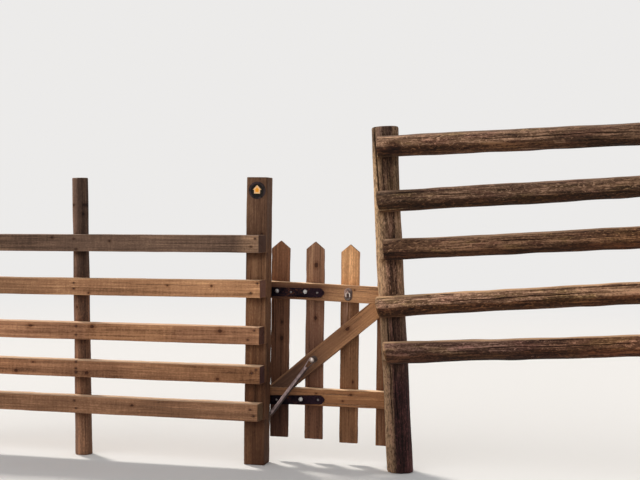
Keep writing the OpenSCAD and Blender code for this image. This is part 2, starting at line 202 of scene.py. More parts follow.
def wood(name, seed, dark, middle, light, top, end, contrast=1.0, streak=55, short=1.0, pale=None,
         bark=0, moss=0, saw=0, checks=1.0, crest=0, deep=0.7, under=None, knots=(), stains=(), fades=(),
         shades=()):
    """Weathered timber, by its grain's coordinates, with colours for sides, top, end grain and bare wood.
    The top's colour is partly bleaching and partly painted sunlight, and down the lit left sides of the
    poles and the slam post bare wood also stands for painted sunlight.

    Streak is how fine the streaks are, and short how many times shorter. Bark, moss, saw, checks and crest
    are shares: of flakes, green and purple patches, marks across the grain, hairline checks and a painted
    highlight along the upper corner. Deep is how far into a crack its painted shade turns fully dark. Under
    is how dark the painted shade on the underside is, and the normal's heights where that starts and is
    full. A knot or a stain is its place along and across, and its radius. A fade multiplies the colour
    along the timber. Shades are places where a painted shadow falls on a post's front under a rail.
    """
    m = Shader(name, dark, 0.85, 0.2)
    here = m.attribute("grain", "Vector")
    along = m.axis(here, "X")
    shift = (seed * 3.1, seed * 1.7, seed * 2.3)

    def texture(scale, shift=shift, **look):
        return m.noise(m.stretch(here, scale, shift), **look)

    fibre = texture((9, 420, 420))
    grain = texture((3.4 * short, 150, 150), distortion=0.3)
    lines = texture((1.1 * short, streak, streak), detail=4, roughness=0.6, distortion=0.4)
    patches = texture((2.6, 9, 9))
    specks = texture((90, 170, 170), detail=2)
    layers = [(lines, 0.9), (grain, 0.8), (patches, 0.8), (specks, 0.45), (fibre, 0.3)]
    if saw:
        layers.append((texture((85, 14, 14), detail=2, distortion=0.3), saw))
    tone = m.weigh(layers, contrast)
    m.cover(middle, tone, 0.2, 0.5)
    m.cover(light, tone, 0.5, 0.8)

    # Ragged bark, with light flakes and dark pits, and moss
    if bark:
        flakes = texture((46, 115, 115), detail=5, roughness=0.68, distortion=0.9)
        m.cover(light, flakes, 0.53, 0.66, 0, bark)
        m.darken((0.42, 0.36, 0.34), flakes, 0.47, 0.35, 0, bark)
    if moss:
        growth = texture((6, 26, 26), shift[::-1])
        m.darken((0.9, 1.0, 0.7), growth, 0.53, 0.66, 0, moss)
        m.darken((0.98, 0.84, 0.92), growth, 0.46, 0.34, 0, moss)
    for start, stop, levels in fades:
        m.darken(levels, along, start, stop)

    # Bare wood where its share is over 0, with painted sunlight down the lit left sides of the poles and
    # the slam post, dark wood where it is under 0, and painted shadow on a post's front under each rail
    bare_and_lit = m.attribute("pale")
    if pale:
        cover = m.span(tone, 0.15, 0.55, 0.5, 1.0)
        if bark:
            cover = m.times(cover, m.span(flakes, 0.4, 0.56, 1 - 0.9 * bark, 1.0))
        m.cover(pale, m.times(bare_and_lit, cover))
        m.darken((0.4, 0.36, 0.34), m.times(bare_and_lit, -1.0))
    front = m.times(m.span(m.axis(here, "Y"), 0.0, -0.03), m.span(bare_and_lit, 0.35, 0.75, 1.0, 0.0))
    # Painted shadow that each rail throws on the post's front just under it
    for place in shades:
        shade = m.times(m.span(along, place + 0.001, place - 0.002), m.span(along, place - 0.05, place))
        m.darken((0.5, 0.41, 0.34), m.times(shade, front))

    # Tops bleached and brightened as painted sunlight, a painted highlight along the upper corners, worn
    # corners, and painted shade on the undersides
    facing = m.axis(m.node("NewGeometry", {}, "Normal"), "Z")
    edge = m.attribute("edge")
    bleached_and_sunlit = m.span(facing, 0.82, 0.98)
    # Painted highlight along the upper corners
    if crest:
        bleached_and_sunlit = m.math("MAXIMUM", bleached_and_sunlit, m.times(edge, m.span(facing, 0.1, 0.4, 0.0, crest)))
    m.cover(top, m.times(bleached_and_sunlit, m.span(tone, 0.1, 0.5, 0.7, 1.0)))
    m.cover(light, m.times(edge, m.span(patches, 0.42, 0.62, 0, 0.5)))
    # Painted shade on surfaces that face down
    if under:
        share, starts, full = under
        m.darken((0.27, 0.195, 0.13), facing, starts, full, 0.0, share)

    # End grain: rings round the pith, and dark checks that run out from it
    across = m.stretch(here, (0, 1, 1), (0, *PITH))
    rings = m.math("MULTIPLY_ADD", patches, 0.012, m.measure("LENGTH", across))
    rings = m.math("SINE", m.times(rings, 2 * pi / RING_GAP))
    turn = m.math("ARCTAN2", m.axis(across, "Y"), m.axis(across, "Z"))
    spokes = m.noise(m.node("CombineXYZ", {0: m.times(turn, 2.4), 1: seed}), detail=1)
    at_end = m.attribute("end")
    m.cover(end, at_end)
    m.darken((0.66, 0.63, 0.62), m.times(at_end, m.span(rings, -1, 1)))
    m.darken((0.25, 0.22, 0.2), m.times(at_end, m.span(spokes, 0.4, 0.33)))

    # Hairline checks along the grain, knots, rusty stains, and painted shade deep in the cracks
    hair = m.span(texture((2.4, 120, 120), shift[::-1], detail=1), 0.33, 0.26, 0.0, checks)
    hairline = m.times(hair, m.math("SUBTRACT", 1.0, at_end))
    m.darken((0.42, 0.38, 0.36), hairline)
    ragged = m.weigh([(lines, 1.0), (grain, 1.0)])

    def spot(place, side, size, squeeze):
        """Distance from a place on the timber, shorter along the grain and with a ragged edge."""
        offset = m.stretch(here, (squeeze, 0, 1), (-squeeze * place, 0, -side))
        return m.math("ADD", m.measure("LENGTH", offset), m.math("MULTIPLY_ADD", ragged, size, -0.5 * size))

    for place, side, size in knots:
        away = spot(place, side, size, 0.8)
        m.darken((0.78, 0.72, 0.68), away, 2.3 * size, 1.0 * size)
        m.darken((0.34, 0.28, 0.26), away, 0.95 * size, 0.6 * size)
    for place, side, size in stains:
        m.darken((0.5, 0.42, 0.38), spot(place, side, size, 0.7), 1.6 * size, 0.5 * size)
    # Painted shade inside the cracks
    m.darken((0.13, 0.1, 0.09), m.attribute("crack"), 0.0, deep)
    height = m.weigh([(lines, 1.0), (grain, 0.8), (fibre, 0.4), (hairline, -0.8)])
    return m.finish(m.span(tone, 0.2, 0.8, 0.92, 0.78), height, 0.5, 0.0015)


# Places along the fence between which the straps turn paler towards their tips, as painted light beyond the
# gatepost's shade
STRAP_OUT_OF_SHADE = (0.18, 0.26)


def painted_iron(name):
    """Black paint, chalky in places and worn to brown at small spots, with painted light towards the straps'
    tips.
    """
    m = Shader(name, (9, 4, 9), 0.65, 0.04)
    here = m.place()
    broad, fine = (m.noise(here, 4, scale=scale) for scale in (18, 160))
    m.cover((28, 19, 27), broad, 0.4, 0.7)
    lit_tip = m.times(m.span(m.axis(here, "X"), *STRAP_OUT_OF_SHADE), m.span(fine, 0.3, 0.6))
    m.cover((40, 25, 32), lit_tip)
    rust = m.times(m.span(broad, 0.5, 0.66), m.span(fine, 0.52, 0.6))
    m.cover((92, 56, 38), m.times(rust, 0.7))
    return m.finish(m.span(fine, 0.3, 0.7, 0.55, 0.8), fine, 0.35, 0.0006)


def zinc(name, light, dark, metallic=0.75, roughness=0.42, painted_shade=None, shade_levels=(0.16, 0.13, 0.12)):
    """Dull zinc with the soft patches of a hot-dipped coat.

    Painted shade is a direction, and two distances along it between which the coat darkens by the shade
    levels, as shade painted on that side.
    """
    m = Shader(name, dark, roughness, 0.5, metallic)
    here = m.place()
    spangle = m.node("TexVoronoi", {"Vector": here, "Scale": 220.0}, "Distance")
    cloud = m.noise(here, 4, scale=45)
    m.cover(light, cloud, 0.35, 0.65)
    m.darken((0.78, 0.78, 0.8), spangle, 0.2, 0.6, 0.0, 0.5)
    # Painted shade, darkening the coat towards one side
    if painted_shade:
        direction, *distances = painted_shade
        m.darken(shade_levels, m.measure("DOT_PRODUCT", here, direction), *distances)
    return m.finish(m.span(cloud, 0.3, 0.7, roughness - 0.08, roughness + 0.15), cloud, 0.15, 0.0005)


def rusty_steel(name):
    m = Shader(name, (34, 22, 18))
    fine = m.noise(m.place(), scale=300)
    m.cover((86, 54, 38), fine, 0.4, 0.65)
    return m.finish(None, fine, 0.4, 0.0005)


def satin_plastic(name, plain, worn, rim=None):
    """Scuffed plastic. Rim is a place, a radius round it and the faded colour beyond that radius."""
    m = Shader(name, plain, 0.6, 0.15)
    here = m.place()
    haze = m.noise(here, 4, scale=60)
    scuff = m.noise(m.stretch(here, (90, 90, 700)))
    if rim:
        centre, radius, faded = rim
        away = m.span(m.measure("DISTANCE", here, centre), radius - 0.003, radius)
        m.cover(faded, m.times(away, m.span(haze, 0.35, 0.6)))
    m.cover(worn, m.times(m.span(haze, 0.45, 0.75), m.span(scuff, 0.4, 0.7)))
    return m.finish(m.span(haze, 0.3, 0.7, 0.5, 0.7), scuff, 0.12, 0.0003)


class Section:
    """Closed outline of a timber across its grain, as a table by distance round it."""

    def __init__(self, points, corner):
        points = np.array(points)
        step = np.roll(points, -1, axis=0) - points
        self.distance = np.concatenate([[0], np.cumsum(np.hypot(*step.T))])
        self.length = self.distance[-1]
        normal = np.stack([step[:, 1], -step[:, 0]], axis=1)
        normal = normal + np.roll(normal, 1, axis=0)
        normal /= np.linalg.norm(normal, axis=1)[:, None]
        columns = np.column_stack([points, normal, corner])
        self.table = np.vstack([columns, columns[:1]])

    def at(self, distance):
        """Y, z, normal's y and z, and nearness to a corner, at each distance."""
        wrapped = np.mod(distance, self.length)
        return [np.interp(wrapped, self.distance, column) for column in self.table.T]

    def nearest(self, y, z):
        return self.distance[np.argmin(np.hypot(self.table[:, 0] - y, self.table[:, 1] - z))]


# Distance within which wood counts as near a corner
CORNER_REACH = 0.006


def sawn(width, height, arris=0.004):
    """Rectangle with worn corners: width is across Y, height across Z."""
    arcs = []
    for turn, sides in enumerate([(1, 1), (-1, 1), (-1, -1), (1, -1)]):
        centre = np.array(sides) * (width / 2 - arris, height / 2 - arris)
        angles = np.radians(np.linspace(0, 90, 6) + 90 * turn)
        arcs.append(centre + arris * np.column_stack([np.cos(angles), np.sin(angles)]))
    points, corner = [], []
    shares = np.linspace(0, 1, 26)[1:-1, None]
    for turn, arc in enumerate(arcs):
        points += [arc, arc[-1] + shares * (arcs[(turn + 1) % 4][0] - arc[-1])]
        from_corner = np.minimum(shares, 1 - shares) * (height if turn % 2 else width)
        corner += [np.ones(len(arc)), np.maximum(0, 1 - from_corner / CORNER_REACH).ravel()]
    return Section(np.concatenate(points), np.concatenate(corner))


def rounded(radius):
    angles = np.linspace(0, 2 * pi, 120, endpoint=False)
    return Section(np.column_stack([np.cos(angles), np.sin(angles)]) * radius, angles * 0)


def lattice(rng, along, across, cell_along, cell_across, length):
    """Smooth random values from -1 to 1 that repeat after length in the second direction."""
    rows = int(np.max(along) / cell_along) + 3
    columns = max(3, round(length / cell_across))
    grid = rng.uniform(-1, 1, (rows, columns))
    a = np.clip(along, 0, None) / cell_along
    b = np.mod(across, length) / length * columns
    i, j = a.astype(int), b.astype(int) % columns
    u, v = a - a.astype(int), b - b.astype(int)
    u, v = u * u * (3 - 2 * u), v * v * (3 - 2 * v)
    near = grid[i, j] * (1 - v) + grid[i, (j + 1) % columns] * v
    far = grid[i + 1, j] * (1 - v) + grid[i + 1, (j + 1) % columns] * v
    return near * (1 - u) + far * u


def step_up(value, low, high):
    share = np.clip((value - low) / (high - low), 0, 1)
    return share * share * (3 - 2 * share)


def band(value, low, high, soft):
    """1 between low and high, and 0 beyond their soft edges."""
    return step_up(value, low - soft, low + soft) * (1 - step_up(value, high - soft, high + soft))


# A drying crack near the point y, z of the section. It wanders to and fro, and drifts round by a distance
Crack = namedtuple("Crack", "y z start stop width depth wander drift", defaults=(0.004, 0.0))
# Places across a crack, in halves of its width, and shares of its depth there
CRACK_PROFILE = [(-1.0, 0.0), (-0.5, 0.55), (0.0, 1.0), (0.5, 0.55), (1.0, 0.0)]
CRACK_MARGIN = 0.0015


def follow_cracks(section, cracks, stations, rng, gap, length):
    """Distances round the section, and depth and darkness there, with five columns along each crack."""
    free = np.linspace(0, section.length, round(section.length / gap), endpoint=False)
    columns = []
    for c in cracks:
        middle = section.nearest(c.y, c.z)
        run = c.stop - c.start
        margin = c.width / 2 + c.wander + CRACK_MARGIN
        apart = np.mod(free - middle + section.length / 2, section.length) - section.length / 2
        free = free[(apart > margin + max(0, c.drift)) | (apart < min(0, c.drift) - margin)]
        path = middle + c.wander * lattice(rng, stations, stations * 0, 0.09, 1, 3)
        path = path + c.drift * np.clip((stations - c.start) / run, 0, 1)
        opened = np.ones_like(stations)
        if c.start > 0:
            opened *= step_up(stations, c.start, c.start + 0.25 * run)
        if c.stop < length:
            opened *= 1 - step_up(stations, c.stop - 0.25 * run, c.stop)
        half = c.width / 2 * (0.25 + 0.75 * opened)
        for offset, share in CRACK_PROFILE:
            columns.append((middle + offset * c.width / 2, path + offset * half, share * opened, c.depth))
    columns += [(place, np.full_like(stations, place), np.zeros_like(stations), 0.0) for place in free]
    columns.sort(key=lambda column: column[0] % section.length)
    distance, share = (np.stack([column[k] for column in columns], axis=1) for k in (1, 2))
    return distance, share * np.array([column[3] for column in columns]), share


def nothing(y, z):
    return y * 0


# Unevenness of a sawn timber: size, cell along and cell round the section
SAWN_ROUGH = [(0.0007, 0.35, 0.05), (0.0006, 0.09, 0.018), (0.0004, 0.2, 0.007)]
CORNER_WEAR = 0.0018
TIMBER_SHARP, PARTS_SHARP = 42, 38
# An end's rings of faces, as shares of its outline, its unevenness and how far its cracks sink
END_RINGS = (1.0, 0.86, 0.6, 0.32, 0.1)
END_DENT, END_CRACK = 0.0004, 0.005


def timber(name, start, end, section, seed, cracks=(), rough=SAWN_ROUGH, taper=1.0, rim=0.0012,
           start_cut=nothing, end_cut=nothing, reach=0.06, step=0.015, gap=0.0062, shape=None, pale=None,
           rule=None):
    """Timber from start to end. Its x runs along the grain, and its y is as near the frame's Y as can be.

    Rim rounds the ends, reach is how far along a slanting end is felt, and step and gap are the mesh's
    lengths along and round it. Shape moves the surface's y and z, pale gives the share of bare wood, which
    on the poles' and slam post's left sides also stands for painted sunlight, and rule changes places in
    the frame, such as where a flat is cut.
    """
    length = (end - start).length
    rng = np.random.default_rng(seed)
    edges = [0, rim * 0.3, rim, 2 * rim, length - 2 * rim, length - rim, length - rim * 0.3, length]
    inner = np.linspace(2 * rim, length - 2 * rim, max(4, round(length / step)))[1:-1]
    stations = np.unique(np.round(np.concatenate([edges, inner]), 5))
    distance, depth, share = follow_cracks(section, cracks, stations, rng, gap, length)
    y, z, normal_y, normal_z, corner = section.at(distance)
    along = np.broadcast_to(stations[:, None], distance.shape)

    lift = -depth
    for size, *cells in rough:
        lift = lift + size * lattice(rng, along, distance, *cells, section.length)
    worn = np.clip(lattice(rng, along, distance, 0.05, 0.06, section.length), 0, 1)
    lift = lift - corner * CORNER_WEAR * worn
    from_end = np.clip(np.minimum(along, length - along) / rim, 0, 1)
    lift = lift - rim * (1 - np.sqrt(1 - (1 - from_end) ** 2))
    scale = 1 + (taper - 1) * along / length
    y = y * scale + normal_y * lift
    z = z * scale + normal_z * lift
    bare_and_lit = pale(along, y, z) if pale else y * 0
    if shape:
        y, z = shape(along, y, z)
    x = along + start_cut(y, z) * np.clip(1 - along / reach, 0, 1)
    x = x - end_cut(y, z) * np.clip(1 - (length - along) / reach, 0, 1)

    points, levels = [], []

    def add(x, y, z, *marks):
        """Takes in points, with a crack's, an edge's, bare wood's (with painted sunlight) and an end's share
        there.
        """
        points.append(np.stack([x, y, z], axis=-1).reshape(-1, 3))
        levels.append(np.stack([np.broadcast_to(mark, np.shape(x)).ravel() for mark in marks]))

    add(x, y, z, share, corner, bare_and_lit, 0)
    rows, columns = x.shape
    ring = np.arange(columns)
    after = (ring + 1) % columns
    faces = []
    for a in range(0, (rows - 1) * columns, columns):
        b = a + columns
        faces += np.stack([a + ring, a + after, b + after, b + ring], axis=1).tolist()
    count = rows * columns
    for row, side, cut in ((0, -1, start_cut), (rows - 1, 1, end_cut)):
        outer = None
        middle_y, middle_z = y[row].mean(), z[row].mean()
        for level in END_RINGS:
            cap_y = middle_y + (y[row] - middle_y) * level
            cap_z = middle_z + (z[row] - middle_z) * level
            dent = END_DENT * rng.uniform(-1, 1, columns) - END_CRACK * share[row] * (1 - abs(level - 0.7))
            dent *= level < 1
            cap_x = stations[row] + side * (dent - cut(cap_y, cap_z))
            add(cap_x, cap_y, cap_z, share[row] * min(1.0, 1.3 * level), 0, 0, 1)
            inside = count + ring
            if outer is not None:
                faces += np.stack([outer, inside, inside[after], outer[after]][::side], axis=1).tolist()
            outer = inside
            count += columns
        add(stations[row] - side * cut(middle_y, middle_z), middle_y, middle_z, 0, 0, 0, 1)
        faces += np.stack([outer, np.full(columns, count), outer[after]][::side], axis=1).tolist()
        count += 1

    along_axis = (end - start).normalized()
    back = (Vector(BACK) - along_axis * along_axis.y).normalized()
    turn = Matrix((along_axis, back, along_axis.cross(back))).transposed()
    grain = np.concatenate(points)
    places = grain @ np.array(turn).T + np.array(start)
    if rule:
        places = rule(places)
    piece = shown_piece(name, np.clip(places, *INSIDE).tolist(), faces, TIMBER_SHARP)
    piece.data.attributes.new("grain", "FLOAT_VECTOR", "POINT").data.foreach_set("vector", grain.ravel())
    for key, values in zip(("crack", "edge", "pale", "end"), np.concatenate(levels, axis=1)):
        piece.data.attributes.new(key, "FLOAT", "POINT").data.foreach_set("value", values)
    return piece


def shown_piece(name, points, faces, sharp_angle):
    """Object in the scene, with its places in the frame as its mesh."""
    mesh = bpy.data.meshes.new(name)
    mesh.from_pydata(points, [], faces)
    mesh.shade_smooth()
    mesh.set_sharp_from_angle(angle=radians(sharp_angle))
    piece = bpy.data.objects.new(name, mesh)
    scene.collection.objects.link(piece)
    return piece


def dress(piece, material, body, slot, *nodes):
    """Finish of a piece, the body it rides on, and the nodes that it stands for."""
    piece.data.materials.append(material)
    if body is not None:
        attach(piece, body)
    if nodes:
        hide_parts(*nodes)
    return piece


def paint(material, *nodes):
    """New material on nodes whose shape is kept."""
    for node in nodes:
        materials = frame["nodes"][node].data.materials
        materials.clear()
        materials.append(material)


def random_cracks(seed, section, length, count, longest=0.4, width=0.0022, depth=0.006):
    rng = np.random.default_rng(seed + 500)
    found = []
    for place in np.linspace(0, section.length, count, endpoint=False):
        y, z = (float(v) for v in section.at(place + rng.uniform(0, 0.6) * section.length / count)[:2])
        start = rng.uniform(-0.1, 0.8) * length
        found.append(Crack(y, z, start, start + rng.uniform(0.2, 1) * longest, width, depth, 0.003))
    return found


def lathe(profile, count):
    """Vertices and faces of a profile of radius and height, turned round local Z."""
    angles = [2 * pi * k / count for k in range(count)]
    points = [(r * cos(a), r * sin(a), height) for r, height in profile for a in angles]
    faces = []
    last = (len(profile) - 1) * count
    for row, k in product(range(0, last, count), range(count)):
        a, b = row + k, row + (k + 1) % count
        faces.append((a, b, b + count, a + count))
    faces.append(tuple(range(last, last + count)))
    faces.append(tuple(reversed(range(count))))
    return points, faces


def tube(path, sideways, radius, sides, closed=False):
    """Vertices and faces of a round wire along a path. Sideways holds one direction off it a point."""
    points, faces = [], []
    count = len(path)
    for i, here in enumerate(path):
        ahead = path[(i + 1) % count if closed else min(i + 1, count - 1)]
        behind = path[(i - 1) % count if closed else max(i - 1, 0)]
        tangent = (ahead - behind).normalized()
        first = (sideways[i] - tangent * tangent.dot(sideways[i])).normalized()
        second = tangent.cross(first)
        for k in range(sides):
            angle = 2 * pi * k / sides
            points.append(tuple(here + radius * (cos(angle) * first + sin(angle) * second)))
    for i, k in product(range(count if closed else count - 1), range(sides)):
        a, b = i * sides, (i + 1) % count * sides
        after = (k + 1) % sides
        faces.append((a + k, a + after, b + after, b + k))
    if not closed:
        faces.append(tuple(reversed(range(sides))))
        faces.append(tuple(range((count - 1) * sides, count * sides)))
    return points, faces


class Parts:
    """Several small forms that become one mesh."""

    def __init__(self, name):
        self.name, self.points, self.faces = name, [], []

    def add(self, form, place, out, turn=0.0):
        """Puts a form at a place, with its own Z along out."""
        points, faces = form
        z = Vector(out).normalized()
        x = Vector(UP if abs(z.z) < 0.9 else RIGHT).cross(z).normalized()
        axes = Matrix((x, z.cross(x), z)).transposed() @ Matrix.Rotation(turn, 3, "Z")
        self.join([tuple(axes @ Vector(p) + Vector(place)) for p in points], faces)

    def join(self, points, faces):
        """Takes in a form that is in place already."""
        first = len(self.points)
        self.points += points
        self.faces += [tuple(first + i for i in face) for face in faces]

    def piece(self, *looks):
        return dress(shown_piece(self.name, self.points, self.faces, PARTS_SHARP), *looks)


# Height of a nail's head, as a share of its radius
NAIL_RISE = 0.3


def nail_head(radius):
    rise = radius * NAIL_RISE
    return lathe([(radius * 0.9, -0.003), (radius, 0), (radius * 0.93, rise * 0.6), (radius * 0.5, rise),
                  (0.0003, rise)], 12)


def dome(radius, height):
    """Domed bolt or screw head that stands on a face."""
    angles = [radians(a) for a in (0, 18, 36, 54, 72, 87)]
    profile = [(radius, -0.001), (radius, 0.0006)]
    profile += [(radius * 0.98 * cos(a), 0.0008 + height * sin(a)) for a in angles]
    return lathe(profile, 20)


def hex_nut(across, height):
    radius = across / 2 / cos(radians(30))
    return lathe([(radius, -0.001), (radius, height * 0.85), (radius * 0.88, height)], 6)


def middle_of(node):
    low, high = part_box(node)
    return (low + high) / 2


def corners_of(node):
    return np.array([v.co for v in frame["nodes"][node].data.vertices])


def extent(values):
    """Middle of some values' range, and half of it."""
    return (values.max() + values.min()) / 2, (values.max() - values.min()) / 2


def log_axis(node):
    """Axis, radii and left end's slant of a log rail, from the node's end faces."""
    corners = corners_of(node)
    left = corners[corners[:, 0] < corners[:, 0].min() + 0.045]
    right = corners[corners[:, 0] > corners[:, 0].max() - 0.01]
    top, bottom = left[left[:, 2].argmax()], left[left[:, 2].argmin()]
    (left_z, left_radius), (right_z, right_radius) = extent(left[:, 2]), extent(right[:, 2])
    axis_y = left[:, 1].min() + left_radius
    start = Vector(((top[0] + bottom[0]) / 2, axis_y, left_z))
    end = Vector((right[:, 0].mean(), axis_y, right_z))
    rise = (end.z - start.z) / (end.x - start.x)
    slant = rise - (bottom[0] - top[0]) / (top[2] - bottom[2])
    return start, end, (left_radius, right_radius), rise, slant


def post_axis(node, rim):
    """Axis, foot and top radii and lean of a round post, from the node's lowest and highest rings."""
    corners = corners_of(node)
    top = corners[:, 2].max()
    foot, crown = corners[corners[:, 2] < 0.001], corners[corners[:, 2] > top - rim - 0.012]
    (foot_x, foot_radius), (crown_x, crown_radius) = extent(foot[:, 0]), extent(crown[:, 0])
    start = Vector((foot_x, extent(foot[:, 1])[0], 0))
    end = Vector((crown_x, start.y, top))
    lean = (end.x - start.x) / end.z
    end.z -= (crown_radius - rim) * abs(lean)
    return start, end, (foot_radius, crown_radius), lean


def round_post(node, rim, rough, seed, cracks, seats, material, slot, shape=None, pale=None):
    """Round post with flats where rails sit. A crack's place is an angle: 90 is left and 180 the front."""
    start, end, radii, lean = post_axis(node, rim)
    found = []
    for angle, *rest in cracks:
        a = radians(angle)
        found.append(Crack(radii[0] * cos(a), radii[0] * sin(a), *rest))

    def rule(places):
        for plane, low, high in seats:
            flat = (places[:, 1] < plane) & (places[:, 2] > low) & (places[:, 2] < high)
            places[flat, 1] = plane
        return places

    section = rounded(radii[0])
    piece = timber("round_" + node, start, end, section, seed, found, rough, radii[1] / radii[0], rim,
                   lambda y, z: -lean * z, step=0.012, shape=shape, pale=pale, rule=rule)
    dress(piece, material, "fence", slot, node)


def set_camera():
    data = bpy.data.cameras.new("camera")
    data.lens = CAMERA_LENS
    data.sensor_width = SENSOR_WIDTH
    camera = bpy.data.objects.new("camera", data)
    place = Matrix.Translation(CAMERA_PLACE)
    for angle, axis in ((-CAMERA_YAW, "Z"), (90 + CAMERA_PITCH, "X"), (CAMERA_ROLL, "Z")):
        place = place @ Matrix.Rotation(radians(angle), 4, axis)
    camera.matrix_world = place
    scene.collection.objects.link(camera)
    scene.camera = camera


def sun(name, towards, angle, power, tint):
    """Distant soft lamp that shines from the direction towards it."""
    data = bpy.data.lights.new(name, "SUN")
    data.angle = radians(angle)
    data.energy = power
    data.color = tint
    lamp = bpy.data.objects.new(name, data)
    scene.collection.objects.link(lamp)
    lamp.rotation_mode = "QUATERNION"
    lamp.rotation_quaternion = Vector(towards).to_track_quat("Z", "Y")


BACKGROUND = (0.84, 0.83, 0.82, 1)
SKYLIGHT = (0.95, 0.97, 1.0, 1)
FLOOR = (0.78, 0.77, 0.76, 1)


def set_world():
    """Plain light all round, which the camera and reflections see as the background."""
    world = bpy.data.worlds.new("studio")
    scene.world = world
    m = Nodes(world)
    light = m.tree.nodes["Background"]
    light.inputs["Color"].default_value = SKYLIGHT
    light.inputs["Strength"].default_value = 0.42
    seen = m.node("Background", {"Color": BACKGROUND})
    rays = [m.node("LightPath", {}, kind) for kind in ("Is Camera Ray", "Is Glossy Ray")]
    mix = m.node("MixShader", {0: m.math("MAXIMUM", *rays), 1: light.outputs[0], 2: seen})
    m.feed(m.tree.nodes["World Output"].inputs["Surface"], mix)


def set_floor():
    """Pale disc under the object that melts into the background far from it."""
    centre = (CAD_BOX[0] + CAD_BOX[1]) / 2
    m = Shader("floor", (255, 255, 255), 0.9, 0.1)
    m.base = FLOOR
    material = m.finish()
    away = m.measure("LENGTH", m.stretch(m.place(), (1, 1, 0), (-centre.x, 0, 0)))
    glow = m.node("Emission", {"Color": BACKGROUND})
    mix = m.node("MixShader", {0: m.span(away, 4.0, 14.0), 1: m.surface.outputs[0], 2: glow})
    m.feed(m.tree.nodes["Material Output"].inputs["Surface"], mix)
    floor = Parts("floor")
    floor.add(lathe([(60, -0.02), (60, 0.0), (8, 0.0), (0.01, 0.0)], 96), (centre.x, 0, -0.0005), UP)
    piece = shown_piece("floor", floor.points, floor.faces, 30)
    piece.data.materials.append(material)


scene.view_settings.view_transform = "Standard"
set_camera()
set_world()
set_floor()
sun("key", (-0.5, 0.42, 0.85), 9, 2.3, (1.0, 0.94, 0.86))
sun("fill", (-0.15, -1.0, 0.55), 70, 1.15, (1.0, 0.98, 0.95))
rusty = rusty_steel("rusty_steel")

# Left fence. Colours of each rail's sides, top and end grain, from the top rail down
RAIL_TONES = [
    ((70, 53, 43), (99, 76, 62), (132, 104, 84), (130, 106, 90), (84, 60, 50)),
    ((112, 78, 54), (148, 106, 76), (186, 140, 102), (190, 152, 118), (122, 86, 72)),
    ((108, 73, 52), (147, 104, 76), (180, 132, 97), (220, 180, 146), (83, 50, 38)),
    ((90, 60, 42), (132, 92, 66), (166, 120, 88), (226, 190, 156), (74, 46, 43)),
    ((88, 62, 46), (124, 88, 64), (158, 116, 86), (214, 178, 146), (100, 75, 52)),
]
# Fades along each rail: where it starts and stops from the gatepost's axis, and the levels
RAIL_FADES = [
    [(-0.09, -0.02, (2.1, 2.1, 1.9)), (-0.9, -1.4, (1.22, 1.2, 1.14))],
    [(-0.9, -0.2, (1.42, 1.45, 1.42)), (-0.9, -1.4, (0.78, 0.8, 0.82))],
    [(-0.9, -1.4, (1.15, 1.15, 1.15)), (-0.88, -0.8, (1.2, 1.22, 1.14)), (-0.45, -0.35, (0.82, 0.8, 0.85))],
    [(-1.0, -1.4, (1.42, 1.4, 1.34)), (-0.9, 0.0, (1.0, 0.98, 0.9))],
    [],
]
# Knots: place from the gatepost's axis, height over the rail's middle, and radius. Nails: the first two
RAIL_KNOTS = [
    [(-1.033, 0.026, 0.007), (-0.727, 0.010, 0.006), (-1.52, -0.02, 0.006)],
    [(-0.835, -0.030, 0.006), (-0.423, 0.012, 0.006), (-0.198, 0.012, 0.008), (-1.42, -0.012, 0.008)],
    [(-1.144, 0.020, 0.011), (-0.815, 0.024, 0.010), (-0.153, 0.021, 0.012), (-1.60, 0.010, 0.008)],
    [(-0.840, -0.019, 0.009), (-0.163, -0.024, 0.008), (-1.222, -0.022, 0.008), (-1.129, 0.025, 0.006)],
    [(-0.60, 0.010, 0.008), (-1.50, -0.010, 0.009)],
]
RAIL_NAILS = [
    [(0.018, 0.025), (-0.002, -0.013), (-0.915, 0.021), (-0.903, -0.031)],
    [(0.032, 0.027), (-0.001, -0.018), (-0.914, 0.018), (-0.914, -0.010)],
    [(0.019, 0.026), (-0.013, -0.019), (-0.900, 0.024), (-0.899, -0.019)],
    [(0.030, 0.027), (0.009, 0.010), (-0.898, 0.035), (-0.898, 0.002), (-0.898, -0.017)],
    [(0.003, 0.014), (0.020, -0.016), (-0.905, 0.020), (-0.896, -0.018)],
]
# Nails at the end post, beyond the photograph's edge
END_POST_NAILS = [(-1.806, 0.022), (-1.792, -0.018)]
NAIL_RADIUS, STAIN_RADIUS = 0.0042, 0.0065
# Longest, width and depth of the fine cracks of sawn timber
FINE_CRACKS = (0.4, 0.0016, 0.004)
LOG_NAIL_RADIUS = 0.006


def rail_middle(node):
    """Ends of a left rail's axis, and the axis's height at any place along the fence."""
    low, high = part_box(node)
    start = Vector((low.x, (low.y + high.y) / 2, low.z + RAIL_HEIGHT / 2))
    end = Vector((high.x, start.y, high.z - RAIL_HEIGHT / 2))
    return start, end, lambda x: start.z + (x - start.x) * (end.z - start.z) / (end.x - start.x)


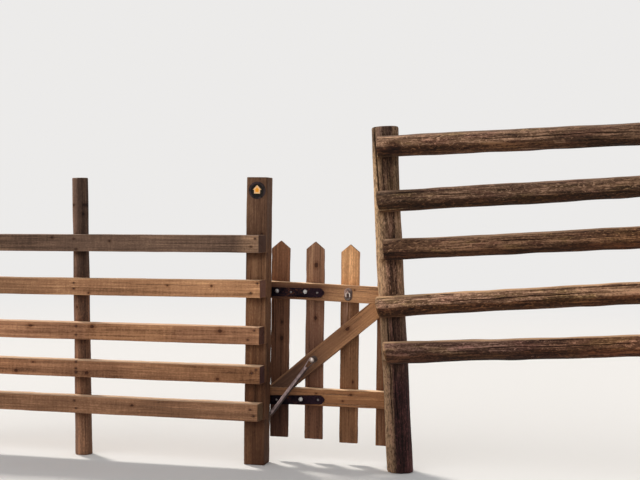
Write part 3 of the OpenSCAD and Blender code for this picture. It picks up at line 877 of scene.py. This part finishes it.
nails = Parts("fence_nails")
rail_middles = []
for number, tones, fades, knots, places in zip(range(1, 6), RAIL_TONES, RAIL_FADES, RAIL_KNOTS, RAIL_NAILS):
    node = f"left_rail_{number}"
    start, end, middle = rail_middle(node)
    rail_middles.append(middle)
    low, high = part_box(node)
    thick = high.y - low.y
    section = sawn(thick, RAIL_HEIGHT)
    corners = corners_of(node)
    askew = high.x - corners[corners[:, 1] < low.y + 0.001, 0].max()
    piece = timber(f"sawn_rail_{number}", start, end, section, 9 + number,
                   random_cracks(number - 1, section, 1.8, 4, *FINE_CRACKS),
                   end_cut=lambda y, z: askew * (0.5 - y / thick))
    places = places + END_POST_NAILS
    material = wood(f"rail_wood_{number}", number, *tones, checks=0.5, saw=0.35,
                    knots=[(x - start.x, z, r) for x, z, r in knots],
                    stains=[(x - start.x, z, STAIN_RADIUS) for x, z in places],
                    fades=[(a - start.x, b - start.x, levels) for a, b, levels in fades])
    dress(piece, material, "fence", "rail_wood", node)
    for x, z in places:
        nails.add(nail_head(NAIL_RADIUS), (x, low.y, middle(x) + z), FRONT)

# How far the gatepost's right side stands out, by height
SIDE_HEIGHTS = [0.27, 0.36, 0.44, 0.5, 0.56, 0.68, 0.76]
SIDE_SWELL = [0.0, 0.0005, 0.0014, 0.0004, 0.0014, 0.0003, 0.0]


def swollen_side(along, y, z):
    return y, z - np.interp(along, SIDE_HEIGHTS, SIDE_SWELL) * (z < -0.04)


def light_streak(along, y, z):
    return 0.35 * band(along, 0.9, 1.0, 0.015) * band(z, -0.007, 0.017, 0.008) * (y < 0)


post_low, post_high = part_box("gatepost")
section = sawn(post_high.y - post_low.y, post_high.x - post_low.x)
piece = timber("sawn_gatepost", Vector((0, 0, 0)), Vector((0, 0, post_high.z)), section, 41,
               random_cracks(40, section, post_high.z, 5, *FINE_CRACKS), rim=0.003,
               shape=swollen_side, pale=light_streak)
post_tones = ((60, 40, 28), (92, 64, 47), (124, 92, 68), (120, 92, 74), (110, 84, 68))
material = wood("gatepost_wood", 6, *post_tones, 0.9, pale=(176, 134, 100), checks=0.3,
                knots=[(0.62, 0.012, 0.008), (1.12, -0.03, 0.006)],
                fades=[(1.1, 0.95, (1.55, 1.55, 1.42)), (0.72, 0.44, (0.62, 0.55, 0.52)),
                       (0.44, 0.3, (0.95, 0.95, 0.95)), (0.3, 0.0, (0.7, 0.66, 0.64))],
                shades=[middle(0) - RAIL_HEIGHT / 2 for middle in rail_middles])
dress(piece, material, "fence", "gatepost_wood", "gatepost")

POLE_ROUGH = [(0.0016, 0.3, 0.07), (0.0011, 0.12, 0.02), (0.0008, 0.2, 0.008)]
POLE_TONES = ((57, 43, 37), (88, 66, 54), (133, 102, 81), (150, 122, 100), (120, 96, 80))
POLE_CRACKS = [(20, 0.2, 1.5, 0.004, 0.012), (300, 0.5, 1.2, 0.003, 0.01)]
POLE_KNOTS = [(1.25, -0.034, 0.012), (1.205, -0.026, 0.008), (1.25, 0.022, 0.007), (0.74, 0.01, 0.008)]
# The poles are paler down the left as painted sunlight, and darkest right of the middle
POLE_FADES = [(0.99, 1.03, (0.68, 0.68, 0.7)), (0.92, 0.84, (1.64, 1.48, 1.32)),
              (0.5, 0.4, (0.95, 0.93, 0.9))]


# Painted sunlight down the pole's left side, more towards its top, and a darker band right of the middle
def pole_lit_left(along, y, z):
    angle = np.mod(np.degrees(np.arctan2(z, y)), 360)
    left = band(angle, 110, 168, 28) * (0.24 + 0.24 * step_up(along, 0.9, 1.06))
    return left - band(angle, 204, 236, 12) * (0.12 + 0.4 * step_up(along, 0.84, 0.92))


def thick_top(along, y, z):
    """The poles hardly taper over the top rail."""
    scale = 1 + 0.08 * step_up(along, 1.02, 1.3)
    return y * scale, z * scale


for node, seed in (("left_mid_post", 50), ("left_end_post", 51)):
    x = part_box(node)[0].x
    heights = [middle(x) for middle in rail_middles]
    seats = [(post_low.y, height - RAIL_HEIGHT / 2, height + RAIL_HEIGHT / 2) for height in heights]
    material = wood(node + "_wood", seed, *POLE_TONES, 0.9, pale=(190, 150, 128), bark=0.25, checks=0.4,
                    knots=POLE_KNOTS, fades=POLE_FADES, shades=[seat[1] for seat in seats])
    round_post(node, POLE_RIM, POLE_ROUGH, seed, POLE_CRACKS, seats, material, "pole_wood",
               thick_top, pole_lit_left)

# Right fence. Its tables of logs go from the top one down, and their fades start at the left end
LOG_ROUGH = [(0.003, 0.35, 0.09), (0.0018, 0.1, 0.03), (0.0013, 0.14, 0.009)]
LOG_TONES = ((48, 32, 24), (93, 68, 51), (168, 132, 106))
LOG_TOPS = [(115, 90, 72), (128, 100, 80), (150, 118, 92), (196, 156, 118), (180, 144, 112)]
LOG_FADES = [
    [(-0.1, -0.05, (1.62, 1.62, 1.6)), (0.2, 0.5, (0.84, 0.84, 0.84)), (0.5, 1.0, (0.56, 0.54, 0.52))],
    [(0.3, 0.0, (0.85, 0.85, 0.82)), (0.8, 1.4, (1.06, 1.03, 0.92))],
    [(-0.1, -0.05, (0.78, 0.7, 0.62)), (0.8, 1.4, (1.66, 1.5, 1.16))],
    [(-0.1, -0.05, (1.7, 1.7, 1.72)), (0.2, 1.2, (0.8, 0.76, 0.68))],
    [(0.14, 0.02, (1.25, 1.22, 1.2)), (-0.1, -0.05, (0.83, 0.78, 0.9)), (0.5, 1.1, (1.8, 1.62, 1.3))],
]
# Dark patches on the logs, by number
LOG_STAINS = {1: [(0.082, -0.002, 0.022), (0.09, -0.022, 0.022), (0.05, -0.034, 0.02)]}
# Painted shade on each log's underside: its share, and the normal's heights where it starts and is full
LOG_UNDERS = [(0.95, 0.1, -0.4), (1, 0.05, -0.45), (0.95, 0, -0.5), (1, 0.05, -0.15), (1, 0.25, -0.2)]


def log_splinter(along, y, z):
    return step_up(0.14 - along, 0, 0.03) * (y < 0) * step_up(-z, 0.036, 0.044)


def log_rim(along, y, z):
    return step_up(0.012 - along, 0, 0.006)


# Bare wood on the logs, by number
LOG_BARE = {2: log_splinter, 4: log_rim, 5: log_rim}
logs = [log_axis(f"log_rail_{n}") for n in range(1, 6)]
log_posts = {node: post_axis(node, LOG_POST_RIM) for node in ("slam_post", "right_end_post")}


def post_place(node, height):
    """Place along the fence of a right post's axis at a height."""
    start, _, _, lean = log_posts[node]
    return start.x + lean * height


for index, (start, end, radii, rise, slant) in enumerate(logs):
    number = index + 1
    crossings = [post_place(node, start.z) for node in log_posts]

    def notch(places):
        for x in crossings:
            flat = (places[:, 1] > LOG_SEAT_Y) & (abs(places[:, 0] - x) < LOG_SEAT_HALF)
            places[flat, 1] = LOG_SEAT_Y
        return places

    section = rounded(radii[0])
    cracks = random_cracks(60 + number, section, 1.9, 9, 0.9, 0.004, 0.012)
    if number == 2:
        cracks.append(Crack(-radii[0] * 0.6, -radii[0] * 0.8, -0.3, 0.22, 0.007, 0.016))
    piece = timber(f"round_log_{number}", start, end, section, 60 + number, cracks, LOG_ROUGH,
                   radii[1] / radii[0], LOG_RIM, lambda y, z: z * slant, step=0.011, gap=0.0058, rule=notch,
                   pale=LOG_BARE.get(number))
    material = wood(f"log_wood_{number}", 20 + number, *LOG_TONES, LOG_TOPS[index], (128, 100, 82), 1.05,
                    short=2.5, pale=(176, 138, 102), bark=0.9, moss=0.6, under=LOG_UNDERS[index],
                    fades=LOG_FADES[index], stains=LOG_STAINS.get(number, ()))
    dress(piece, material, "fence", "log_wood", f"log_rail_{number}")
    front = max(start.y - radii[0], INSIDE[0][1] + LOG_NAIL_RADIUS * NAIL_RISE)
    for x in crossings:
        nails.add(nail_head(LOG_NAIL_RADIUS), (x, front, start.z + rise * (x - start.x)), FRONT)

# The slam post's split: heights of its foot and top, and in degrees its place and how far it turns
SPLIT_FOOT, SPLIT_TOP = 1.25, 1.64
SPLIT_ANGLE, SPLIT_TURN = 149, -18
# The slam post is bowed to the left between two heights, and a little slimmer than its solid
BOW, BOW_START, BOW_STOP = 0.0045, 0.5, 1.6
SLIM = 0.985
# Bare wood on the slam post, by height, which down its left side also stands for painted sunlight
LIT_BARE_HEIGHTS = [0.5, 0.62, 0.72, 0.85, 1.05, 1.45, 1.58]
LIT_BARE_SHARES = [0.5, 0.35, 0.35, 0.65, 0.9, 0.85, 0.3]


def limb_bare_and_lit(along, y, z):
    """Share of bare wood, with painted sunlight down the lit left side.

    Most on the left, some on the right, and under 0 where the post is dark.
    """
    angle = np.mod(np.degrees(np.arctan2(z, y)), 360)
    level = np.interp(along, LIT_BARE_HEIGHTS, LIT_BARE_SHARES)
    fall = 0.45 + 0.3 * step_up(along, 1.2, 1.35)
    left = step_up(angle, 35, 75) * (1 - fall * step_up(angle, 125, 157)) * (1 - step_up(angle, 152, 186))
    right = 0.2 * band(angle, 222, 285, 10) * step_up(along, 0.6, 0.85)
    return left * level + right - 0.5 * band(angle, 190, 212, 8)


def bowed(along, y, z):
    share = np.clip((along - BOW_START) / (BOW_STOP - BOW_START), 0, 1)
    return y * SLIM, z * SLIM + BOW * np.sin(pi * share)


LOG_POST_CRACKS = [(190, 0.1, 1.0, 0.004, 0.012), (20, 0.2, 1.5, 0.005, 0.015),
                   (165, 0.2, 0.8, 0.006, 0.014), (174, 1.25, 1.5, 0.005, 0.014)]
LOG_POST_FADES = [(1.3, 1.42, (0.52, 0.48, 0.46)), (1.52, 1.58, (1.1, 1.2, 1.45)),
                  (1.08, 0.97, (1.22, 1.16, 1.17)), (0.82, 0.7, (0.34, 0.3, 0.34)),
                  (0.55, 0.4, (0.62, 0.44, 0.58))]
for node, seed in (("slam_post", 52), ("right_end_post", 53)):
    seats = []
    for start, end, radii, rise, slant in logs:
        here = start.z + rise * (post_place(node, start.z) - start.x)
        seats.append((LOG_SEAT_Y, here - radii[1], here + radii[1]))
    split = node == "slam_post"
    cracks = LOG_POST_CRACKS
    if split:
        drift = radians(SPLIT_TURN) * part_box(node)[1].y
        cracks = cracks + [(SPLIT_ANGLE, SPLIT_FOOT, SPLIT_TOP, 0.014, 0.03, 0.002, drift)]
    material = wood(node + "_wood", seed, *LOG_TONES, (102, 79, 66), (120, 92, 74), 1.1, 65, short=2.5,
                    pale=(240, 196, 150), bark=0.75, moss=0.5, deep=0.25, fades=LOG_POST_FADES,
                    shades=[seat[1] + 0.01 for seat in seats])
    round_post(node, LOG_POST_RIM, LOG_ROUGH, seed, cracks, seats, material, "log_wood",
               bowed if split else None, limb_bare_and_lit if split else None)
nails.piece(rusty, "fence", "black_iron")

# Pickets from the gatepost's side on, with nails on their backs
PICKET_TONES = [
    ((57, 37, 27), (93, 62, 45), (128, 89, 65)),
    ((70, 45, 35), (108, 74, 57), (142, 104, 80)),
    ((75, 50, 34), (115, 79, 54), (153, 110, 79)),
    ((70, 46, 32), (106, 70, 48), (134, 96, 68)),
]
PICKET_KNOTS = [
    [(0.570, -0.011, 0.008), (0.490, -0.010, 0.011)],
    [(0.597, -0.006, 0.010), (0.857, -0.006, 0.011)],
    [(0.30, -0.020, 0.006)],
    [(0.45, 0.018, 0.007)],
]
PICKET_FADES = [
    [(0.6, 0.74, (1.9, 1.9, 1.8)), (0.28, 0.16, (0.5, 0.46, 0.52))],
    [(0.65, 0.76, (1.45, 1.55, 1.5)), (0.3, 0.16, (0.9, 0.86, 0.8))],
    [(0.70, 0.78, (3.1, 3.5, 3.4))],
    [],
]


def wide_left(along, y, z):
    """The first picket's left edge, which is nearly hidden by the gatepost and widens upwards."""
    return y, z + (0.0004 + 0.0012 * step_up(along, 0.68, 0.72)) * (z > 0.03)


def pull_lines(along, y, z):
    """The third picket under the pull: light on the left, then a light line, and a dark one beside it."""
    light = 0.2 * band(z, 0.014, 0.034, 0.004) + 0.12 * band(z, -0.004, 0.003, 0.0015)
    light = light + 0.7 * band(z, 0.0105, 0.0145, 0.001) * step_up(along, 0.61, 0.65)
    return (light - 0.8 * band(z, 0.0055, 0.0095, 0.001)) * (y < 0) * band(along, 0.55, 0.76, 0.03)


# How far the pickets' backs are planed down inside their boxes, and their nails' heads sink
PICKET_PLANED, PICKET_SINK = 0.0008, 0.0014
picket_nails = Parts("picket_nails")
rail_heights = [middle_of(node).z for node in ("gate_top_rail", "gate_bottom_rail")]
for index in range(4):
    node = f"picket_{index + 1}"
    low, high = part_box(node)
    section = sawn(high.y - low.y - PICKET_PLANED, high.x - low.x, 0.0022)
    slope = 2 * PICKET_POINT / (high.x - low.x)
    start = Vector(((low.x + high.x) / 2, (low.y + high.y - PICKET_PLANED) / 2, low.z))
    end = Vector((start.x, start.y, high.z))
    form = {"gap": 0.0055, "cracks": random_cracks(71 + index, section, 1, 5)}
    if index == 0:
        form["shape"] = wide_left
    # The third has the lines under the pull in place of cracks
    if index == 2:
        form = {"gap": 0.002, "pale": pull_lines}
    piece = timber(f"pointed_{node}", start, end, section, 71 + index, reach=0.09,
                   end_cut=lambda y, z: np.abs(z) * slope, **form)
    material = wood(f"{node}_wood", 31 + index, *PICKET_TONES[index], (150, 116, 90), (120, 90, 66), 0.85,
                    pale=(190, 150, 130), checks=0.2 if index == 2 else 1.0, knots=PICKET_KNOTS[index],
                    fades=PICKET_FADES[index])
    dress(piece, material, "gate", "picket_wood", node)
    for height, side in product(rail_heights, (-1, 1)):
        place = (start.x + side * 0.02, high.y - PICKET_SINK, height + side * 0.014)
        picket_nails.add(nail_head(NAIL_RADIUS), place, BACK)
picket_nails.piece(rusty, "gate", "black_iron")

# Gate's rails, with their knots and fades, and its brace
GATE_TONES = ((84, 58, 42), (126, 88, 62), (164, 120, 84))
GATE_END = (84, 60, 50)
GATE_LOOKS = {
    "gate_top_rail": ([(0.427, 0.02, 0.005)],
                      [(0.32, 0.24, (0.5, 0.45, 0.48)), (0.2, 0.0, (0.66, 0.64, 0.68)),
                       (0.28, 0.52, (2.4, 2.6, 2.5))]),
    "gate_bottom_rail": ([(0.374, -0.012, 0.006), (0.241, 0.018, 0.006), (0.414, 0.02, 0.008)],
                         [(0.0, 0.3, (1.2, 1.13, 1.0))]),
}
for seed, (node, (knots, fades)) in enumerate(GATE_LOOKS.items(), 80):
    low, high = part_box(node)
    start = Vector((low.x, (low.y + high.y) / 2, high.z - GATE_RAIL_HEIGHT / 2))
    end = Vector((high.x, start.y, low.z + GATE_RAIL_HEIGHT / 2))
    section = sawn(high.y - low.y, GATE_RAIL_HEIGHT, 0.0025)
    piece = timber(f"sawn_{node}", start, end, section, seed, random_cracks(seed, section, 0.6, 5))
    material = wood(f"{node}_wood", seed, *GATE_TONES, (250, 210, 168), GATE_END, 0.8, checks=0.6,
                    crest=0.9, knots=knots, fades=fades)
    dress(piece, material, "gate", "gate_wood", node)

low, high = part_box("gate_brace")
along_brace = Vector((cos(BRACE_SLOPE), 0, sin(BRACE_SLOPE)))
half = along_brace * (high.z - low.z) / sin(BRACE_SLOPE) / 2
middle = (low + high) / 2
section = sawn(high.y - low.y, GATE_RAIL_HEIGHT)
piece = timber("sawn_brace", middle - half, middle + half, section, 82, random_cracks(82, section, 0.8, 5),
               start_cut=lambda y, z: -z / tan(BRACE_SLOPE),
               end_cut=lambda y, z: z / tan(BRACE_SLOPE), reach=0.16)
material = wood("brace_wood", 83, *GATE_TONES, (170, 130, 96), GATE_END, 0.8, checks=0.6,
                knots=[(0.45, 0.011, 0.01)],
                fades=[(0.35, 0.1, (0.34, 0.34, 0.42)), (0.4, 0.62, (1.9, 1.95, 1.8))])
dress(piece, material, "gate", "gate_wood", "gate_brace")

# Ironwork. The closer's coil has painted shade along its lower right side, and the pull's plate at its lower
# right
CLOSER_AXIS = (SPRING_HIGH - SPRING_LOW).normalized()
CLOSER_UP = CLOSER_AXIS.cross(Vector(BACK))
SHADED = Vector((-0.45, -1, 0.45))
HOOKS = ("hinge_hook_upper", "hinge_hook_lower")
coil_line = CLOSER_UP.dot(SPRING_LOW)
ring_middle = middle_of("pull_ring").z
foot_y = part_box("closer_gate_bracket")[1].y
plate_low, plate_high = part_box("pull_plate")
plate_x = (plate_low.x + plate_high.x) / 2
plate_line = SHADED.dot(Vector((plate_x, plate_high.y, (plate_low.z + plate_high.z) / 2)))
bright_zinc = zinc("bright_zinc", (200, 196, 194), (140, 136, 134))
dull_zinc = zinc("dull_zinc", (146, 138, 134), (100, 92, 90))
worn_zinc = zinc("worn_zinc", (124, 116, 114), (76, 68, 68), 0.6)
# Painted shade along the coil's lower right side
spring_zinc = zinc("spring_zinc", (184, 162, 160), (140, 120, 118), 0.5, 0.55,
                   (CLOSER_UP, coil_line - 0.003, coil_line - 0.0055))
paint(painted_iron("black_iron"), *HOOKS, "strap_hinge_upper", "strap_hinge_lower")
# Grimy zinc for the bracket on the gatepost, darkened further as painted shade
paint(zinc("grimy_shaded_zinc", (112, 88, 74), (66, 48, 38), 0.4, 0.6), "closer_post_bracket")
# Painted shade on the plate's lower right part
paint(zinc("plate_zinc", (182, 150, 136), (126, 98, 86), 0.1, 0.7,
           (SHADED, plate_line + 0.014, plate_line + 0.003), (0.3, 0.26, 0.25)), "pull_plate")
# The ring is painted bright as a highlight from above, with painted shade below its middle
paint(zinc("ring_zinc", (252, 240, 228), (222, 204, 190), 0.1, 0.4,
           (UP, ring_middle, ring_middle - 0.005)), "pull_ring")
# The stud's bracket darkens towards its foot: rust, and painted shade
paint(zinc("stud_zinc", (226, 214, 206), (170, 156, 148), painted_shade=(BACK, foot_y - 0.042, foot_y - 0.036)),
      "closer_gate_bracket")
disc_rim = (middle_of("waymark_disc"), 0.034, (58, 44, 46))
paint(satin_plastic("disc_plastic", (14, 8, 5), (30, 20, 16), disc_rim), "waymark_disc")

# Fixings of the straps: height of the strap's middle at the pin, its tilt, and each fixing's place along
# the fence and form. The bolts and nuts sit a little over the middle.
BOLT_HEAD, SCREW_HEAD, STRAP_NUT = dome(0.0105, 0.006), dome(0.0062, 0.003), hex_nut(0.019, 0.009)
BOLT_RISE, BOLT_END, BOLT_REACH, FIXING_TURN = 0.004, 0.005, 0.012, 0.3
STRAP_THICK, PLATE_THICK, BRACKET_THICK, HOOK_THICK = 0.006, 0.004, 0.003, 0.005
STRAPS = [
    (0.835, 0.0, [(0.0735, BOLT_HEAD), (0.144, SCREW_HEAD), (0.218, STRAP_NUT), (0.277, SCREW_HEAD)]),
    (0.301, radians(2.5), [(0.077, SCREW_HEAD), (0.201, STRAP_NUT), (0.287, SCREW_HEAD)]),
]
strap_bolts, strap_screws, plate_screws, post_screws = (
    Parts(name) for name in ("strap_bolts", "strap_screws", "plate_screws", "post_screws"))
pin_x = next(joint["pos_m"][0] for joint in frame["joints"] if joint["name"] == "gate_swing")
rail_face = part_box("gate_top_rail")[0].y
strap_face = rail_face - STRAP_THICK
for height, tilt, fixings in STRAPS:
    for x, form in fixings:
        z = height + (x - pin_x) * tan(tilt)
        if form is SCREW_HEAD:
            strap_screws.add(form, (x, strap_face, z), FRONT, FIXING_TURN)
        else:
            strap_bolts.add(form, (x, strap_face, z + BOLT_RISE), FRONT, FIXING_TURN)
        if form is STRAP_NUT:
            strap_bolts.add(dome(BOLT_END, 0.001), (x, strap_face - BOLT_REACH, z + BOLT_RISE), FRONT)
            shank = lathe([(BOLT_END, 0), (BOLT_END, BOLT_REACH)], 16)
            strap_bolts.add(shank, (x, strap_face, z + BOLT_RISE), FRONT)
for z in (plate_low.z + 0.009, plate_high.z - 0.009):
    plate_screws.add(dome(0.0045, 0.0022), (plate_x, rail_face - PLATE_THICK, z), FRONT)
low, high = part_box("closer_post_bracket")
for side, z in product((-0.007, 0.007), (low.z + 0.007, high.z - 0.007)):
    place = (post_high.x + BRACKET_THICK, (low.y + high.y) / 2 + side, z)
    post_screws.add(dome(0.0028, 0.0014), place, RIGHT)
for node in HOOKS:
    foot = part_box(node)[0].z
    for side, z in product((-0.015, 0.015), (0.01, 0.086)):
        post_screws.add(dome(0.0042, 0.002), (pin_x + side, post_high.y + HOOK_THICK, foot + z), BACK)
strap_bolts.piece(bright_zinc, "gate", "galvanised")
strap_screws.piece(worn_zinc, "gate", "galvanised")
plate_screws.piece(dull_zinc, "gate", "galvanised")
post_screws.piece(dull_zinc, "fence", "galvanised")

# Arrow on the disc, in millimetres: a pale edge round an orange middle
ARROW = [(0, 26), (22, 3), (15, 3), (15, -15), (-15, -15), (-15, 3), (-22, 3)]


def arrow(name, size, rise, material):
    middle, face = middle_of("waymark_disc"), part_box("waymark_disc")[0].y
    shape = [(x * size / 1000, (y * size + 1 - size) / 1000) for x, y in ARROW]
    count = len(shape)
    form = Parts(name)
    form.join([(middle.x + x, y, middle.z + z) for y in (face, face - rise) for x, z in shape],
              [tuple(range(count, 2 * count))]
              + [(i, (i + 1) % count, count + (i + 1) % count, count + i) for i in range(count)])
    form.piece(material, "fence", "disc_plastic")


arrow("arrow_edge", 1.0, 0.0003, satin_plastic("pale_print", (232, 184, 130), (196, 144, 96)))
arrow("arrow_middle", 0.56, 0.0006, satin_plastic("orange_print", (232, 154, 44), (200, 128, 44)))

# Closer: a close coil of wire, with a hook at the gatepost and a long eye round the stud
COIL_WIRE, COIL_RADIUS, COIL_PITCH, COIL_STEPS = 0.0019, 0.0090, 0.004, 18
COIL_START, COIL_FROM_EYE = 0.012, 0.042
HOOK_RADIUS, HOOK_WIRE = 0.006, 0.0025
EYE_RADIUS, EYE_WIRE = 0.0135, 0.0024
COIL_CAP = lathe([(0.0105, 0), (0.0109, 0.002), (0.0098, 0.005), (0.004, 0.006)], 24)


def closer():
    axis, upright, across = CLOSER_AXIS, CLOSER_UP, Vector(BACK)
    last = (SPRING_HIGH - SPRING_LOW).length - COIL_FROM_EYE
    turns = int((last - COIL_START) / COIL_PITCH)
    count = turns * COIL_STEPS
    angles = [2 * pi * i / COIL_STEPS for i in range(count + 1)]
    spokes = [cos(a) * across + sin(a) * upright for a in angles]
    path = [SPRING_LOW + axis * (COIL_START + COIL_PITCH * turns * i / count) + COIL_RADIUS * spoke
            for i, spoke in enumerate(spokes)]
    spring = Parts("closer_coil")
    spring.join(*tube(path, spokes, COIL_WIRE, 8))

    angles = np.linspace(0, 2 * pi, 40, endpoint=False)
    spokes = [cos(a) * axis + sin(a) * across for a in angles]
    hook = [SPRING_LOW + axis * HOOK_RADIUS + HOOK_RADIUS * spoke for spoke in spokes]
    spring.join(*tube(hook, spokes, HOOK_WIRE, 12, closed=True))

    # The eye's wire leaves the coil on one side, goes round the stud and comes back on the other
    bend = [cos(a) * axis + sin(a) * upright for a in np.linspace(pi / 2, -pi / 2, 24)]
    leaves = SPRING_LOW + axis * (last - 0.004)
    side = upright * COIL_RADIUS * 0.9
    eye = [leaves + side, *(SPRING_HIGH + EYE_RADIUS * spoke for spoke in bend), leaves - side]
    spring.join(*tube(eye, [across] * len(eye), EYE_WIRE, 12))
    spring.add(COIL_CAP, SPRING_LOW + axis * (last - 0.003), axis)
    spring.add(COIL_CAP, SPRING_LOW + axis * (COIL_START + 0.003), -axis)
    piece = spring.piece(spring_zinc, None, "galvanised", "closer_spring")
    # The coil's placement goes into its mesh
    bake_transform(piece)


closer()
